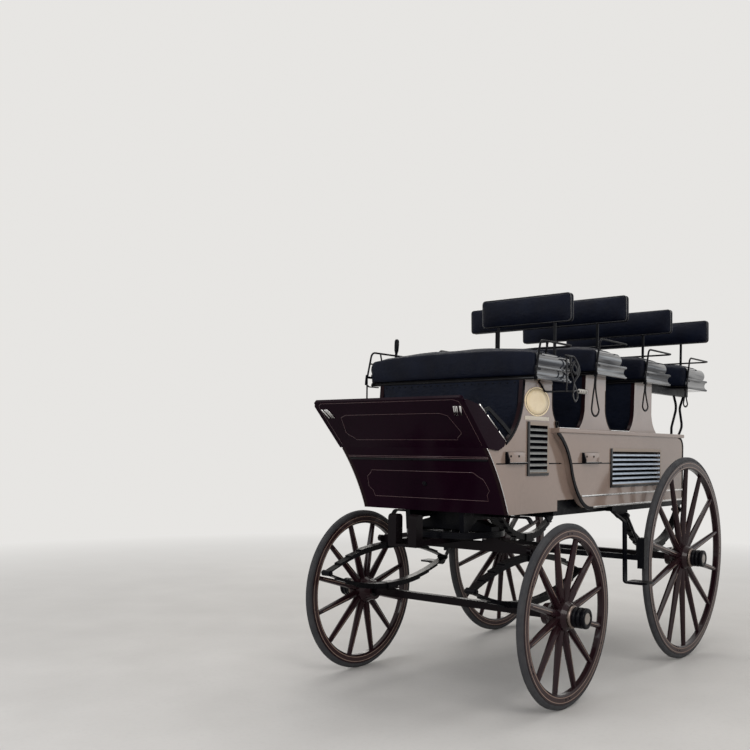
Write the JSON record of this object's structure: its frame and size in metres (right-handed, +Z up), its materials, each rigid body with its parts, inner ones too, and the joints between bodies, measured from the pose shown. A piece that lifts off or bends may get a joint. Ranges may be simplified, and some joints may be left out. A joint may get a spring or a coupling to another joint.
{
  "type": "horse-drawn break carriage",
  "caption": "Open horse-drawn break with rows of high forward-facing bench seats on a long louvred body, sprung on spoked wheels.",
  "frame": {"origin": "on the ground, under the middle of the overall length and width", "axes": "+X forward, +Y to the left, +Z up"},
  "size_m": [3.2197, 1.744, 2.41],
  "materials": {
    "body_tan": "high gloss coach paint on wood",
    "body_maroon": "high gloss coach paint on wood",
    "boards": "dark painted boards",
    "louvre_paint": "gloss coach paint",
    "leather": "satin black leather",
    "iron_black": "black gloss paint on iron",
    "bright_nickel": "bright nickel plate",
    "spring_steel": "black gloss paint on steel",
    "gear_paint": "dark maroon gloss paint",
    "wheel_paint": "dark maroon gloss paint with fine tan lines",
    "tyre": "plain grey solid rubber",
    "hub_black": "black gloss paint on metal"
  },
  "bodies": {
    "body": {"side_frames": "body_tan", "quarter_panels": "body_tan", "ledges": "body_tan", "rear_wall": "body_tan", "boot_front": "body_maroon", "footboard": "body_maroon", "footboard_wings": "body_maroon", "seat_box_1": "body_maroon", "seat_box_2": "body_maroon", "seat_box_3": "body_maroon", "seat_box_4": "body_maroon", "floors": "boards", "bulkheads": "boards", "louvres_front": "louvre_paint", "louvres_rear": "louvre_paint", "cushion_1": "leather", "cushion_2": "leather", "cushion_3": "leather", "cushion_4": "leather", "backrest_1": "leather", "backrest_2": "leather", "backrest_3": "leather", "backrest_4": "leather", "seat_fall": "leather", "well": "iron_black", "rail_1": "iron_black", "rail_2": "iron_black", "rail_3": "iron_black", "rail_4": "iron_black", "rear_seat_irons": "iron_black", "steps": "iron_black", "upper_ring": "iron_black", "underframe": "iron_black", "brake_gear": "iron_black", "edge_strips": "iron_black", "toe_steps": "iron_black", "wing_stays": "iron_black", "mouldings": "bright_nickel", "rear_springs": "spring_steel", "rear_axle": "gear_paint"},
    "fore_carriage": {"bed": "gear_paint", "futchells": "gear_paint", "lower_ring": "iron_black", "front_springs": "spring_steel", "front_axle": "gear_paint"},
    "tail_door": {"tail_door": "body_tan"},
    "wheel_front_left": {"tyre_front_left": "tyre", "wheel_front_left": "wheel_paint", "hub_front_left": "hub_black"},
    "wheel_front_right": {"tyre_front_right": "tyre", "wheel_front_right": "wheel_paint", "hub_front_right": "hub_black"},
    "wheel_rear_left": {"tyre_rear_left": "tyre", "wheel_rear_left": "wheel_paint", "hub_rear_left": "hub_black"},
    "wheel_rear_right": {"tyre_rear_right": "tyre", "wheel_rear_right": "wheel_paint", "hub_rear_right": "hub_black"}
  },
  "joints": [
    {"name": "steering", "type": "hinge", "parent": "body", "child": "fore_carriage", "pos_m": [0.9056, 0, 0.919], "axis": [0, 0, 1], "range_deg": [-60, 60]},
    {"name": "spin_front_left", "type": "hinge", "parent": "fore_carriage", "child": "wheel_front_left", "pos_m": [0.9056, 0.731, 0.505], "axis": [0, 1, 0], "continuous": true},
    {"name": "spin_front_right", "type": "hinge", "parent": "fore_carriage", "child": "wheel_front_right", "pos_m": [0.9056, -0.731, 0.505], "axis": [0, 1, 0], "continuous": true},
    {"name": "spin_rear_left", "type": "hinge", "parent": "body", "child": "wheel_rear_left", "pos_m": [-0.7934, 0.74, 0.686], "axis": [0, 1, 0], "continuous": true},
    {"name": "spin_rear_right", "type": "hinge", "parent": "body", "child": "wheel_rear_right", "pos_m": [-0.7934, -0.74, 0.686], "axis": [0, 1, 0], "continuous": true},
    {"name": "tail_door_drop", "type": "hinge", "parent": "body", "child": "tail_door", "pos_m": [-1.2564, 0, 1.144], "axis": [0, -1, 0], "range_deg": [0, 90]}
  ]
}
